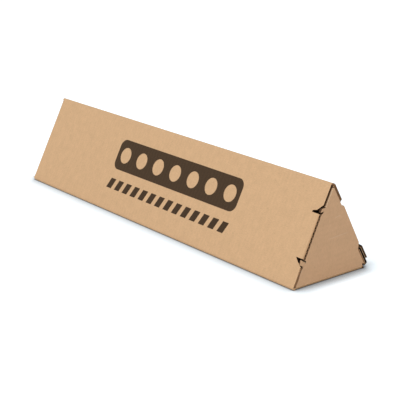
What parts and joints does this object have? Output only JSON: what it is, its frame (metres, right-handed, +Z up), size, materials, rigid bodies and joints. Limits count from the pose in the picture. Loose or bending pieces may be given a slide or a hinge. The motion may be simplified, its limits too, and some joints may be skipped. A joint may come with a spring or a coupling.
{
  "type": "triangular cardboard mailing tube",
  "caption": "Triangular corrugated board tube for posting rolled sheets, with a hinged triangular flap at each end and plain dark print on the front.",
  "frame": {"origin": "on the resting face, under the middle of the closed tube", "axes": "+X along the tube, +Y from the printed front panel towards the glued back panel, +Z up"},
  "size_m": [0.65, 0.1322, 0.1282],
  "materials": {
    "kraft_board": "matt",
    "dark_ink": "matt"
  },
  "bodies": {
    "tube": {"tube_body": "kraft_board", "front_print": "dark_ink"},
    "near_flap": {"near_end_flap": "kraft_board"},
    "far_flap": {"far_end_flap": "kraft_board"}
  },
  "joints": [
    {"name": "near_flap_fold", "type": "hinge", "parent": "tube", "child": "near_flap", "pos_m": [0.3216, 0, 0.0034], "axis": [0, 1, 0], "range_deg": [0, 90]},
    {"name": "far_flap_fold", "type": "hinge", "parent": "tube", "child": "far_flap", "pos_m": [-0.3216, -0.06241, 0.0034], "axis": [0, 0.4696, 0.8829], "range_deg": [0, 110]}
  ]
}
